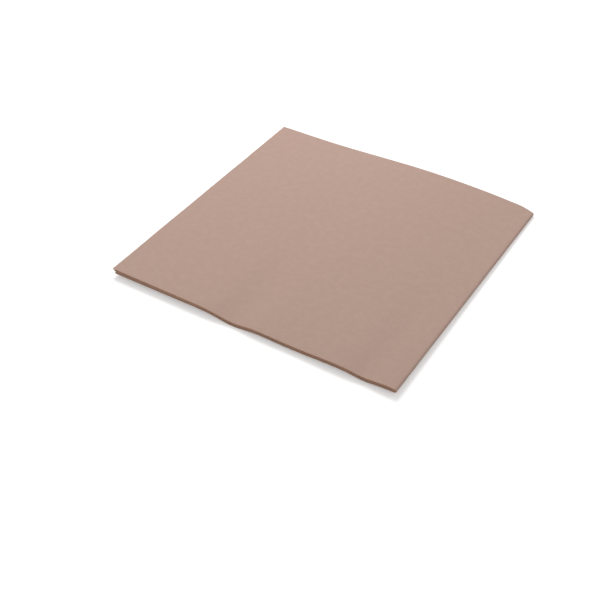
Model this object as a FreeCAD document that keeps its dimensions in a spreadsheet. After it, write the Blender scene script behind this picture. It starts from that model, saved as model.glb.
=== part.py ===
import FreeCAD, Part
import math
import os

import Sketcher

# Paper napkin: one square airlaid sheet, folded in half and in half again.
#
# +X runs along the front edge, +Y to the back, +Z up. The front (-Y) and left (-X) sides are
# the open ones, where the cut edges of all four layers lie. The first fold runs along the back
# as two flat hairpins, one for the upper pair of leaves and one for the lower pair. The second
# fold wraps both pairs round the right side, so the back right corner is closed twice.
#
# The sheet is springy. Its front edge sags in dips, its back edge arches and droops to the table
# at the closed corner, and the pairs part a little towards the open left side.

# Driving dimensions in mm: name, value, what it is. Each "place" is measured along +X from the
# open left side, and each "reach" is how far a dip or an arch spreads to either side of it.
SIZES = [
    ("open_side", 400, "side of the sheet before folding"),
    ("layer", 0.6, "thickness of the paper"),
    ("pair_gap", 0.15, "air between the two leaves of a pair"),
    ("middle_gap", 0.3, "air between the pairs at the second fold"),
    ("left_gap", 0.8, "air between the pairs at the open left side"),
    ("left_gap_reach", 45, "how far the wider air spreads from the left"),
    ("leaf_step", 0.4, "inner leaves end short of the outer ones at the front"),
    ("pair_step", 1.4, "lower pair ends short of the upper one at the left"),
    ("front_lift", 2.5, "height of the front edge away from its dips"),
    ("first_dip_place", 89.5, "narrow dip near the middle of the front edge"),
    ("first_dip_depth", 2.35, "depth of that dip"),
    ("first_dip_reach", 12.5, "reach of that dip"),
    ("broad_dip_place", 130, "broad sag of the front edge"),
    ("broad_dip_depth", 0.75, "depth of that sag"),
    ("broad_dip_reach", 22, "reach of that sag"),
    ("last_dip_place", 179, "narrow dip of the front edge near the second fold"),
    ("last_dip_depth", 1.3, "depth of that dip"),
    ("last_dip_reach", 9, "reach of that dip"),
    ("back_lift", 0.2, "height of the back edge away from its arch"),
    ("arch_place", 127, "top of the back edge's arch"),
    ("arch_height", 3.4, "height of the arch"),
    ("arch_reach", 64, "reach of the arch"),
    ("droop_place", 198.5, "droop of the back edge at the closed corner"),
    ("droop_depth", 1.15, "depth of that droop"),
    ("droop_reach", 24, "reach of that droop"),
    ("corner_length", 12, "stretch over which the closed corner rounds off"),
    ("corner_inset", 2.6, "how far the closed corner is drawn in from the back"),
]

# Sections along X: evenly spaced ones up to the closed corner, then a few along its rounding.
MAIN_STEPS = 28
CORNER_STEPS = 5


def size(name):
    return f"Sizes.{name}"


SIDE = f"({size('open_side')} / 2)"
PAIR_THICKNESS = f"(2 * {size('layer')} + {size('pair_gap')})"
INNER_BEND = f"({size('pair_gap')} / 2)"
OUTER_BEND = f"({size('pair_gap')} / 2 + {size('layer')})"
FOLD_PLACE = f"({SIDE} - {PAIR_THICKNESS} - {size('middle_gap')} / 2)"
CORNER_PLACE = f"({FOLD_PLACE} - {size('corner_length')})"


def bell(place, name, height):
    """A smooth rise or dip along X that fades out on both sides of its place."""
    offset = f"({place} - {size(name + '_place')})"
    return f"{size(height)} / exp(({offset} / {size(name + '_reach')})^2)"


def front_height(place):
    """Height of the underside at the front edge."""
    dips = [bell(place, name, name + "_depth") for name in ("first_dip", "broad_dip", "last_dip")]
    return f"({size('front_lift')} - {' - '.join(dips)})"


def back_height(place):
    """Height of the underside at the back edge."""
    arch = bell(place, "arch", "arch_height")
    droop = bell(place, "droop", "droop_depth")
    return f"({size('back_lift')} + {arch} - {droop})"


def pair_air(place):
    """Air between the two pairs."""
    widening = f"({size('left_gap')} - {size('middle_gap')})"
    return f"({size('middle_gap')} + {widening} / exp(({place} / {size('left_gap_reach')})^2))"


def back_inset(place):
    """How far the first fold is drawn in from the back: nothing before the closed corner."""
    share = f"(({place} - {CORNER_PLACE}) / {size('corner_length')})"
    return f"({share} > 0 ? {size('corner_inset')} * {share}^2 : 0)"


def station_places(start):
    """Places of the sections, from the one that is given up to the second fold."""
    main = [
        f"({start} + ({CORNER_PLACE} - {start}) * {step} / {MAIN_STEPS})"
        for step in range(MAIN_STEPS + 1)
    ]
    corner = [
        f"({CORNER_PLACE} + {size('corner_length')} * {step} / {CORNER_STEPS})"
        for step in range(1, CORNER_STEPS + 1)
    ]
    return main + corner


def make_sheet(doc):
    sheet = doc.addObject("Spreadsheet::Sheet", "Sizes")
    for row, (alias, value, note) in enumerate(SIZES, start=1):
        sheet.set(f"A{row}", note)
        sheet.set(f"B{row}", str(value))
        sheet.setAlias(f"B{row}", alias)
    doc.recompute()
    return sheet


def stand_across(sketch, body, place):
    """Stand a section across X, with its own axis midway between the two pairs."""
    plane = [item for item in body.Origin.OriginFeatures if item.Role == "YZ_Plane"][0]
    sketch.AttachmentSupport = [(plane, "")]
    sketch.MapMode = "FlatFace"
    tip_axis = FreeCAD.Vector(0, 0, 1)
    sketch.AttachmentOffset = FreeCAD.Placement(FreeCAD.Vector(), FreeCAD.Rotation(tip_axis, 1))
    middle = f"{front_height(place)} + {PAIR_THICKNESS} + {pair_air(place)} / 2"
    rise = f"({back_height(place)} - {front_height(place)})"
    sketch.setExpression("AttachmentOffset.Base.x", f"-{SIDE} / 2")
    sketch.setExpression("AttachmentOffset.Base.y", middle)
    sketch.setExpression("AttachmentOffset.Base.z", f"{place} - {SIDE} / 2")
    sketch.setExpression("AttachmentOffset.Rotation.Angle", f"asin({rise} / {SIDE})")


def pair_section(body, sheet, name, place, above):
    """Section of one pair of leaves, joined at the back by the hairpin of the first fold.

    The pair lies above the section's axis, or below it as the mirror image.
    """
    sketch = body.newObject("Sketcher::SketchObject", name)
    stand_across(sketch, body, place)
    way = 1 if above else -1
    inner_radius = sheet.pair_gap / 2
    outer_radius = inner_radius + sheet.layer
    near = sheet.middle_gap / 2
    centre_x = sheet.open_side / 2 - outer_radius
    centre_y = near + outer_radius

    def leaf_line(x, y, end_x, end_y):
        start = FreeCAD.Vector(x, way * y, 0)
        end = FreeCAD.Vector(end_x, way * end_y, 0)
        return sketch.addGeometry(Part.LineSegment(start, end), False)

    def bend(radius):
        centre = FreeCAD.Vector(centre_x, way * centre_y, 0)
        circle = Part.Circle(centre, FreeCAD.Vector(0, 0, 1), radius)
        return sketch.addGeometry(Part.ArcOfCircle(circle, -math.pi / 2, math.pi / 2), False)

    def constrain(kind, *places):
        return sketch.addConstraint(Sketcher.Constraint(kind, *places))

    def measure(kind, *places, expression):
        index = constrain(kind, *places)
        sketch.setExpression(f"Constraints[{index}]", expression)

    # each leaf has two faces and a cut end; near means near the middle of the napkin
    step = sheet.leaf_step
    near_face = leaf_line(step, near, centre_x, near)
    near_inside = leaf_line(step, near + sheet.layer, centre_x, near + sheet.layer)
    far_inside = leaf_line(0, centre_y + inner_radius, centre_x, centre_y + inner_radius)
    far_face = leaf_line(0, centre_y + outer_radius, centre_x, centre_y + outer_radius)
    near_cut = leaf_line(step, near, step, near + sheet.layer)
    far_cut = leaf_line(0, centre_y + outer_radius, 0, centre_y + inner_radius)
    outer_bend = bend(outer_radius)
    inner_bend = bend(inner_radius)

    start, end, centre = 1, 2, 3
    near_end, far_end = (start, end) if above else (end, start)
    origin, upright_axis = (-1, 1), -2
    for line in (near_face, near_inside, far_inside, far_face):
        constrain("Horizontal", line)
    for line in (near_cut, far_cut):
        constrain("Vertical", line)
    constrain("Tangent", near_face, end, outer_bend, near_end)
    constrain("Tangent", far_face, end, outer_bend, far_end)
    constrain("Tangent", near_inside, end, inner_bend, near_end)
    constrain("Tangent", far_inside, end, inner_bend, far_end)
    constrain("Coincident", inner_bend, centre, outer_bend, centre)
    constrain("Coincident", near_cut, start, near_face, start)
    constrain("Coincident", near_cut, end, near_inside, start)
    constrain("Coincident", far_cut, start, far_face, start)
    constrain("Coincident", far_cut, end, far_inside, start)
    constrain("PointOnObject", far_face, start, upright_axis)
    measure("Radius", inner_bend, inner_radius, expression=INNER_BEND)
    measure("Radius", outer_bend, outer_radius, expression=OUTER_BEND)
    measure("DistanceX", *origin, near_face, start, step, expression=size("leaf_step"))
    reach = f"{SIDE} - {back_inset(place)} - {OUTER_BEND}"
    measure("DistanceX", *origin, outer_bend, centre, centre_x, expression=reach)
    rise = (*origin, near_face, start) if above else (near_face, start, *origin)
    measure("DistanceY", *rise, near, expression=f"{pair_air(place)} / 2")
    return sketch


def pair_sections(body, sheet, name, start, above):
    return [
        pair_section(body, sheet, f"{name}_{number}", place, above)
        for number, place in enumerate(station_places(start))
    ]


def second_fold(body, section):
    """Both pairs wrapped round the right side, about the axis midway between them."""
    fold = body.newObject("PartDesign::Revolution", "second_fold")
    fold.Profile = section
    fold.ReferenceAxis = (section, ["H_Axis"])
    fold.Angle = 180


def pair_loft(body, name, sections):
    """One pair of leaves, carried along X from the second fold to its open side."""
    loft = body.newObject("PartDesign::AdditiveLoft", name)
    loft.Profile = sections[-1]
    loft.Sections = sections[-2::-1]
    loft.Ruled = True


def make_napkin(doc, sheet):
    body = doc.addObject("PartDesign::Body", "napkin")
    body.Label = "napkin"
    upper_sections = pair_sections(body, sheet, "upper_section", "0", above=True)
    lower_start = size("pair_step")
    lower_sections = pair_sections(body, sheet, "lower_section", lower_start, above=False)
    second_fold(body, upper_sections[-1])
    pair_loft(body, "upper_pair", upper_sections)
    pair_loft(body, "lower_pair", lower_sections)
    return body


def check(doc, bodies):
    doc.recompute()
    for item in doc.Objects:
        if "Invalid" in item.State or "Error" in item.State:
            raise RuntimeError(f"{item.Name} failed: {item.State}")
    for body in bodies:
        if body.Shape.isNull() or not body.Shape.isValid():
            raise RuntimeError(f"{body.Label} has no valid shape")


def main():
    os.makedirs("parts", exist_ok=True)
    doc = FreeCAD.newDocument("paper_napkin")
    sheet = make_sheet(doc)
    napkin = make_napkin(doc, sheet)
    check(doc, [napkin])
    napkin.Shape.exportStep(f"parts/{napkin.Label}.step")


main()
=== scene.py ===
import math

import bmesh
import bpy
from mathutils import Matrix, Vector, noise


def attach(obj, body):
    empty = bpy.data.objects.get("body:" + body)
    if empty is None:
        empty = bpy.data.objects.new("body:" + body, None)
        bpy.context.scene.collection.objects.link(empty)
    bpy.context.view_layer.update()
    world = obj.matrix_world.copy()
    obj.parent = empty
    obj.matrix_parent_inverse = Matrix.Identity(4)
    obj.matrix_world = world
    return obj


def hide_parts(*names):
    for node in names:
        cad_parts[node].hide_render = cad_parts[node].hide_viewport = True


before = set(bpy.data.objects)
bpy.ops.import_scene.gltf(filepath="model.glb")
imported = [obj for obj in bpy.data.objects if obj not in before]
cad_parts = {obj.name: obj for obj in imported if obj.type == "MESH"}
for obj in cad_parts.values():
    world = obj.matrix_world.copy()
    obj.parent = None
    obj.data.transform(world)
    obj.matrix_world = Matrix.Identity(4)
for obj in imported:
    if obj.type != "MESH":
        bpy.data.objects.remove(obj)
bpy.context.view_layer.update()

# Paper napkin: a square sheet of dyed airlaid paper, folded in half and in half again, lying on
# a pale table. +X runs along the front cut edge, +Y to the back, +Z up. Lengths are in mm until a
# mesh is finished, when they become metres.

MM = 0.001

# The sheet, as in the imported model: two leaves make a pair, and two pairs make the napkin. The
# pairs part towards the open left side, where the lower one ends short of the upper one, and inner
# leaves end short of outer ones at the front. The closed corner is drawn in from the back.
OPEN_SIDE = 400.0
SIDE = OPEN_SIDE / 2
LAYER = 0.6
PAIR_GAP = 0.15
MIDDLE_GAP = 0.3
LEFT_GAP = 0.8
LEFT_GAP_REACH = 45.0
LEAF_STEP = 0.4
PAIR_STEP = 1.4
CORNER_LENGTH = 12.0
CORNER_INSET = 2.6

# Waves of the springy sheet: place from the left, height, reach to either side
FRONT_LIFT = 2.5
FRONT_WAVES = [(89.5, -2.35, 12.5), (130.0, -0.75, 22.0), (179.0, -1.3, 9.0)]
BACK_LIFT = 0.2
BACK_WAVES = [(127.0, 3.4, 64.0), (198.5, -1.15, 24.0)]

# The first fold: two leaves joined by a hairpin. Its radius and half its length are those of the
# line through the middle of the paper.
HAIRPIN_RADIUS = (LAYER + PAIR_GAP) / 2
HAIRPIN_HALF = math.pi / 2 * HAIRPIN_RADIUS
HAIRPIN_DEPTH = SIDE - LAYER - PAIR_GAP / 2
PAIR_THICKNESS = 2 * LAYER + PAIR_GAP
PAIR_MIDDLE = MIDDLE_GAP / 2 + PAIR_THICKNESS / 2

# The second fold: the pair wrapped half round the right side
WRAP_RADIUS = PAIR_MIDDLE + HAIRPIN_RADIUS
WRAP_HALF = math.pi / 2 * WRAP_RADIUS
FOLD_PLACE = SIDE - PAIR_THICKNESS - MIDDLE_GAP / 2
CORNER_PLACE = FOLD_PLACE - CORNER_LENGTH

# Finer shape of real paper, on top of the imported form. The front edge's waves die away faster
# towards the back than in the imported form, where they fade evenly. Near its loose corner the
# second leaf hangs away from the top one, and ends short of it at the left. The reach of that sag
# is along the front edge, and back from it.
FRONT_WAVES_FADE = 3
UNEVENNESS = 0.3
UNEVENNESS_SPAN = 55.0
SECOND_LEAF_SAG = 0.65
SECOND_LEAF_SAG_REACH = (60.0, 50.0)
SECOND_LEAF_STEP = 0.6
EDGE_RAG = 0.12
EDGE_RAG_SPAN = 3.0
EDGE_SOFTNESS = 0.12
SHARP_ANGLE = math.radians(60)

# Strips of the mesh: over the whole sheet, round each fold, and along the drawn-in corner. Lines
# nearer to each other than the tolerance are the same.
SHEET_STRIPS = 160
HAIRPIN_STRIPS = 8
WRAP_STRIPS = 12
CORNER_STRIPS = 4
TOLERANCE = 0.001

# Colours of the dyed paper, and of its cut edges. The cut edges' tones are darker and warmer
# than the face's: partly the edge's own colour, partly painted shade of the shaded edge band.
# Each comes with the share of pulp or of fibre ends at which it shows.
PAPER_TONES = [(0.45, "#b5988b"), (0.75, "#b99c8f"), (1.0, "#bda093")]
CUT_EDGE_AND_SHADE_TONES = [(0.35, "#b08468"), (0.65, "#c79c81")]

# Patterns of the paper. The real fibres are 0.03 mm wide, and are drawn as coarse as they need to
# be to show.
CLOUD_SIZE = 5.0
FIBRE_SPACING = 1.5
FIBRE_WEIGHT = 0.5
FIBRE_RELIEF = 0.03
FIBRE_END_SPACING = 0.8
FIBRE_END_RELIEF = 0.15

# A glow that lights nothing keeps the table white, and is stronger far out, where the lamp is weak
TABLE_SIDE = 4000.0
TABLE_WHITE = "#eeeeee"
GLOW_NEAR = 0.35
GLOW_FAR = 0.68
GLOW_NEAR_DISTANCE = 250.0
GLOW_FAR_DISTANCE = 900.0

# Soft studio light: a dome, and one broad lamp above the back left. The dome itself shows as white.
DOME_STRENGTH = 0.54
DOME_SEEN_STRENGTH = 1.0
LAMP_PLACE = Vector((-358.0, 397.0, 724.0))
LAMP_SIDE = 400.0
LAMP_POWER = 4.72

# The camera looks at the napkin from the front right
VIEW_TARGET = Vector((15.40, -64.30, 6.0))
VIEW_DISTANCE = 644.04
VIEW_TURN = math.radians(31.75)
VIEW_RISE = math.radians(40.88)
LENS = 64.14
SENSOR_WIDTH = 36.0


def wavy(place, waves):
    """Height of an edge's waves at a place along it."""
    return sum(
        height * math.exp(-(((place - centre) / reach) ** 2)) for centre, height, reach in waves
    )


def pair_air(place):
    """Air between the two pairs, which part towards the open left side."""
    return MIDDLE_GAP + (LEFT_GAP - MIDDLE_GAP) * math.exp(-((place / LEFT_GAP_REACH) ** 2))


def middle_height(place, depth):
    """Height of the surface midway between the pairs, at a place and a depth from the front."""
    back = depth / SIDE
    front = 1 - back
    underside = FRONT_LIFT * front + wavy(place, FRONT_WAVES) * front**FRONT_WAVES_FADE
    underside += (BACK_LIFT + wavy(place, BACK_WAVES)) * back
    return underside + PAIR_THICKNESS + pair_air(place) / 2


def across_first_fold(b):
    """Depth from the front and height within the pair, for a line of the open sheet.

    b runs from the far leaf's cut edge, through the hairpin at 0, to the near leaf's.
    """
    if abs(b) < HAIRPIN_HALF:
        turn = b / HAIRPIN_RADIUS
        depth = HAIRPIN_DEPTH + HAIRPIN_RADIUS * math.cos(turn)
        return depth, -HAIRPIN_RADIUS * math.sin(turn)
    run = (abs(b) - HAIRPIN_HALF) / (SIDE - HAIRPIN_HALF)
    step = LEAF_STEP if b > 0 else 0
    depth = HAIRPIN_DEPTH + (step - HAIRPIN_DEPTH) * run
    return depth, math.copysign(HAIRPIN_RADIUS, -b)


def folded(a, b):
    """Where a point of the open sheet lies in the folded napkin.

    a runs from the upper pair's left edge, round the second fold at 0, to the lower pair's.
    """
    depth, height = across_first_fold(b)
    height += PAIR_MIDDLE
    if abs(a) < WRAP_HALF:
        turn = math.pi / 2 * (1 + a / WRAP_HALF)
        place = FOLD_PLACE + height * math.sin(turn)
        height *= math.cos(turn)
        inset = CORNER_INSET
    else:
        run = (abs(a) - WRAP_HALF) / (SIDE - WRAP_HALF)
        start = PAIR_STEP if a > 0 else 0
        place = FOLD_PLACE + (start - FOLD_PLACE) * run
        height += (pair_air(place) - MIDDLE_GAP) / 2
        height = math.copysign(height, -a)
        inset = CORNER_INSET * max(0, (place - CORNER_PLACE) / CORNER_LENGTH) ** 2
    depth -= inset * depth / SIDE
    level = middle_height(min(place, FOLD_PLACE), depth)
    return Vector((place - SIDE / 2, depth - SIDE / 2, level + height))


def uneven(point):
    """The slight unevenness of all four layers together."""
    return UNEVENNESS * noise.noise(Vector((point.x, point.y, 0)) / UNEVENNESS_SPAN)


def second_leaf_sag(place, depth):
    """How far the second leaf hangs away from the top one, near their loose corner."""
    along, back = SECOND_LEAF_SAG_REACH
    return SECOND_LEAF_SAG * math.exp(-((place / along) ** 2) - (depth / back) ** 2)


def rag(a, b):
    """How far fibres draw a cut edge in or out."""
    return EDGE_RAG * noise.noise(Vector((a, b, 0)) / EDGE_RAG_SPAN)


def crease(sheet, across, offset):
    """A line of new vertices across the sheet."""
    bmesh.ops.bisect_plane(
        sheet,
        geom=sheet.verts[:] + sheet.edges[:] + sheet.faces[:],
        dist=TOLERANCE,
        plane_co=across * offset,
        plane_no=across,
    )


def open_sheet():
    """The flat square sheet with its texture map, and with narrow strips at both folds."""
    sheet = bmesh.new()
    sheet.loops.layers.uv.new("sheet")
    bmesh.ops.create_grid(
        sheet, x_segments=SHEET_STRIPS, y_segments=SHEET_STRIPS, size=SIDE, calc_uvs=True
    )
    for strip in range(HAIRPIN_STRIPS + 1):
        crease(sheet, Vector((0, 1, 0)), HAIRPIN_HALF * (2 * strip / HAIRPIN_STRIPS - 1))
    for strip in range(WRAP_STRIPS + 1):
        crease(sheet, Vector((1, 0, 0)), WRAP_HALF * (2 * strip / WRAP_STRIPS - 1))
    for strip in range(1, CORNER_STRIPS + 1):
        past_fold = WRAP_HALF + CORNER_LENGTH * strip / CORNER_STRIPS
        crease(sheet, Vector((1, 0, 0)), past_fold)
        crease(sheet, Vector((-1, 0, 0)), past_fold)
    return sheet


def fold_napkin(sheet):
    """Move the open sheet's vertices to where they lie when it is folded twice."""
    for vert in sheet.verts:
        a, b = vert.co.x, vert.co.y
        point = folded(a, b)
        point.z += uneven(point)
        if a < 0 < b:
            point.z -= second_leaf_sag(point.x + SIDE / 2, point.y + SIDE / 2)
            point.x += SECOND_LEAF_STEP * (a / SIDE) ** 2 * b / SIDE
        if abs(a) > SIDE - TOLERANCE:
            point.x += rag(a, b)
        if abs(b) > SIDE - TOLERANCE:
            point.y += rag(a, b)
        vert.co = point
    lowest = min(vert.co.z for vert in sheet.verts) - LAYER / 2
    bmesh.ops.translate(sheet, vec=Vector((0, 0, -lowest)), verts=sheet.verts)
    bmesh.ops.scale(sheet, vec=Vector((MM, MM, MM)), verts=sheet.verts)


def add_object(name, mesh_builder, materials):
    mesh = bpy.data.meshes.new(name)
    for face in mesh_builder.faces:
        face.smooth = True
    mesh_builder.to_mesh(mesh)
    mesh_builder.free()
    for material in materials:
        mesh.materials.append(material)
    item = bpy.data.objects.new(name, mesh)
    bpy.context.scene.collection.objects.link(item)
    return item


def make_napkin():
    sheet = open_sheet()
    fold_napkin(sheet)
    napkin = add_object("folded_napkin", sheet, [airlaid_paper(), airlaid_cut_edge_and_shade()])
    thickness = napkin.modifiers.new("paper thickness", "SOLIDIFY")
    thickness.thickness = LAYER * MM
    thickness.offset = 0
    thickness.use_rim = True
    thickness.material_offset_rim = 1
    softened = napkin.modifiers.new("soft cut edges", "BEVEL")
    softened.width = EDGE_SOFTNESS * MM
    softened.segments = 2
    softened.limit_method = "ANGLE"
    softened.angle_limit = SHARP_ANGLE
    softened.harden_normals = True
    return napkin


def from_hex(colour):
    """An sRGB hex colour as linear RGBA."""
    channels = [int(colour[i : i + 2], 16) / 255 for i in (1, 3, 5)]
    linear = [c / 12.92 if c <= 0.04045 else ((c + 0.055) / 1.055) ** 2.4 for c in channels]
    return (*linear, 1)


def add_node(tree, kind, settings=None, values=None, links=None):
    """A node with its settings, its plain values and the sockets that feed it."""
    node = tree.nodes.new(kind)
    for name, value in (settings or {}).items():
        setattr(node, name, value)
    for name, value in (values or {}).items():
        node.inputs[name].default_value = value
    for name, source in (links or {}).items():
        tree.links.new(source, node.inputs[name])
    return node


def set_tones(ramp, tones):
    """Give a colour ramp its places and colours, the outer two first."""
    for element, (place, colour) in zip(ramp.elements, (tones[0], tones[-1])):
        element.position = place
        element.color = from_hex(colour)
    for place, colour in tones[1:-1]:
        ramp.elements.new(place).color = from_hex(colour)


def new_material(name):
    material = bpy.data.materials.new(name)
    material.use_nodes = True
    material.node_tree.nodes.clear()
    return material, material.node_tree


def place_on_sheet(tree):
    """Coordinates in mm on the open sheet, which follow the paper round its folds."""
    place = add_node(tree, "ShaderNodeTexCoord")
    scale = {"Scale": (OPEN_SIDE, OPEN_SIDE, OPEN_SIDE)}
    in_mm = add_node(tree, "ShaderNodeMapping", None, scale, {"Vector": place.outputs["UV"]})
    return in_mm.outputs["Vector"]


def airlaid_paper():
    """Airlaid paper: wood pulp laid dry in a thick soft web, bonded and dyed.

    To the eye it is an even, matt, faintly felted tone, with pale clouds where the pulp lies
    denser and short fibres that catch a little light.
    """
    material, tree = new_material("airlaid_paper")
    place = place_on_sheet(tree)
    clouds = add_node(
        tree,
        "ShaderNodeTexNoise",
        None,
        {"Scale": 1 / CLOUD_SIZE, "Detail": 4, "Roughness": 0.62},
        {"Vector": place},
    )
    # the real fibres are 0.03 mm wide and are drawn 1.5 mm apart, or they wouldn't show
    fibres = add_node(
        tree,
        "ShaderNodeTexNoise",
        {"noise_type": "RIDGED_MULTIFRACTAL", "normalize": True},
        {"Scale": 1 / FIBRE_SPACING, "Detail": 3, "Roughness": 0.6, "Distortion": 0.8},
        {"Vector": place},
    )
    pulp = add_node(
        tree,
        "ShaderNodeMath",
        {"operation": "MULTIPLY_ADD"},
        {1: FIBRE_WEIGHT},
        {0: fibres.outputs["Fac"], 2: clouds.outputs["Fac"]},
    )
    tone = add_node(tree, "ShaderNodeValToRGB", None, None, {"Fac": pulp.outputs["Value"]})
    set_tones(tone.color_ramp, PAPER_TONES)
    felt = add_node(
        tree,
        "ShaderNodeBump",
        None,
        {"Strength": 1.0, "Distance": FIBRE_RELIEF * MM},
        {"Height": fibres.outputs["Fac"]},
    )
    surface = add_node(
        tree,
        "ShaderNodeBsdfPrincipled",
        None,
        {
            "Roughness": 0.95,
            "Specular IOR Level": 0.25,
            "Sheen Weight": 0.08,
            "Sheen Roughness": 0.6,
        },
        {"Base Color": tone.outputs["Color"], "Normal": felt.outputs["Normal"]},
    )
    add_node(tree, "ShaderNodeOutputMaterial", links={"Surface": surface.outputs["BSDF"]})
    return material


def airlaid_cut_edge_and_shade():
    """Cut edge of airlaid paper: pulp torn a little by the blade.

    To the eye it is a thin fuzzy line. Its tones are warmer and darker than the face's: partly
    the edge's own colour, partly painted shade of the shaded band along the edge.
    """
    material, tree = new_material("airlaid_cut_edge_and_shade")
    # the real fibre ends are 0.03 mm wide and are drawn 0.8 mm apart, or they wouldn't show
    fibre_ends = add_node(
        tree,
        "ShaderNodeTexNoise",
        None,
        {"Scale": 1 / FIBRE_END_SPACING, "Detail": 4, "Roughness": 0.7},
        {"Vector": place_on_sheet(tree)},
    )
    # painted shade: the edge's tones are partly its own colour and partly painted shade, darker and
    # warmer than the face's
    tone = add_node(tree, "ShaderNodeValToRGB", None, None, {"Fac": fibre_ends.outputs["Fac"]})
    set_tones(tone.color_ramp, CUT_EDGE_AND_SHADE_TONES)
    fuzz = add_node(
        tree,
        "ShaderNodeBump",
        None,
        {"Strength": 1.0, "Distance": FIBRE_END_RELIEF * MM},
        {"Height": fibre_ends.outputs["Fac"]},
    )
    surface = add_node(
        tree,
        "ShaderNodeBsdfPrincipled",
        None,
        {
            "Roughness": 1.0,
            "Specular IOR Level": 0.1,
            "Sheen Weight": 0.15,
            "Sheen Roughness": 0.7,
        },
        {"Base Color": tone.outputs["Color"], "Normal": fuzz.outputs["Normal"]},
    )
    add_node(tree, "ShaderNodeOutputMaterial", links={"Surface": surface.outputs["BSDF"]})
    return material


def seen_directly(tree):
    """1 where the camera, a reflection or a clear object looks straight at the surface."""
    path = add_node(tree, "ShaderNodeLightPath")
    reflected = add_node(
        tree,
        "ShaderNodeMath",
        {"operation": "MAXIMUM"},
        None,
        {0: path.outputs["Is Glossy Ray"], 1: path.outputs["Is Transmission Ray"]},
    )
    seen = add_node(
        tree,
        "ShaderNodeMath",
        {"operation": "MAXIMUM"},
        None,
        {0: path.outputs["Is Camera Ray"], 1: reflected.outputs["Value"]},
    )
    return seen.outputs["Value"]


def white_table_top():
    """Matt white laminate, which shows as the white background and still takes the shadow."""
    material, tree = new_material("white_table_top")
    laminate = add_node(tree, "ShaderNodeBsdfDiffuse", None, {"Color": from_hex(TABLE_WHITE)})
    place = add_node(tree, "ShaderNodeTexCoord")
    distance = add_node(
        tree,
        "ShaderNodeVectorMath",
        {"operation": "LENGTH"},
        None,
        {0: place.outputs["Object"]},
    )
    spread = add_node(
        tree,
        "ShaderNodeMapRange",
        None,
        {
            "From Min": GLOW_NEAR_DISTANCE * MM,
            "From Max": GLOW_FAR_DISTANCE * MM,
            "To Min": GLOW_NEAR,
            "To Max": GLOW_FAR,
        },
        {"Value": distance.outputs["Value"]},
    )
    lift = add_node(
        tree,
        "ShaderNodeMath",
        {"operation": "MULTIPLY"},
        None,
        {0: spread.outputs["Result"], 1: seen_directly(tree)},
    )
    glow = add_node(tree, "ShaderNodeEmission", None, None, {"Strength": lift.outputs["Value"]})
    both = add_node(
        tree,
        "ShaderNodeAddShader",
        None,
        None,
        {0: laminate.outputs["BSDF"], 1: glow.outputs["Emission"]},
    )
    add_node(tree, "ShaderNodeOutputMaterial", links={"Surface": both.outputs["Shader"]})
    return material


def make_table():
    top = bmesh.new()
    bmesh.ops.create_grid(top, x_segments=1, y_segments=1, size=TABLE_SIDE / 2 * MM)
    return add_object("table_top", top, [white_table_top()])


def light_dome():
    world = bpy.data.worlds.new("studio")
    world.use_nodes = True
    tree = world.node_tree
    tree.nodes.clear()
    strength = add_node(
        tree,
        "ShaderNodeMapRange",
        None,
        {"To Min": DOME_STRENGTH, "To Max": DOME_SEEN_STRENGTH},
        {"Value": seen_directly(tree)},
    )
    sky = add_node(
        tree,
        "ShaderNodeBackground",
        None,
        {"Color": (1, 1, 1, 1)},
        {"Strength": strength.outputs["Result"]},
    )
    add_node(tree, "ShaderNodeOutputWorld", links={"Surface": sky.outputs["Background"]})
    bpy.context.scene.world = world


def hang_lamp():
    lamp = bpy.data.lights.new("lamp", "AREA")
    lamp.shape = "SQUARE"
    lamp.size = LAMP_SIDE * MM
    lamp.energy = LAMP_POWER
    item = bpy.data.objects.new("lamp", lamp)
    item.location = LAMP_PLACE * MM
    item.rotation_euler = (-LAMP_PLACE).to_track_quat("-Z", "Y").to_euler()
    bpy.context.scene.collection.objects.link(item)


def place_camera():
    level = math.cos(VIEW_RISE)
    away = Vector(
        (math.sin(VIEW_TURN) * level, -math.cos(VIEW_TURN) * level, math.sin(VIEW_RISE))
    )
    lens = bpy.data.cameras.new("camera")
    lens.lens = LENS
    lens.sensor_width = SENSOR_WIDTH
    camera = bpy.data.objects.new("camera", lens)
    camera.location = (VIEW_TARGET + away * VIEW_DISTANCE) * MM
    camera.rotation_euler = (-away).to_track_quat("-Z", "Y").to_euler()
    bpy.context.scene.collection.objects.link(camera)
    bpy.context.scene.camera = camera


def main():
    napkin = make_napkin()
    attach(napkin, "root")
    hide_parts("napkin")
    make_table()
    light_dome()
    hang_lamp()
    place_camera()
    bpy.context.scene.view_settings.view_transform = "Standard"


main()
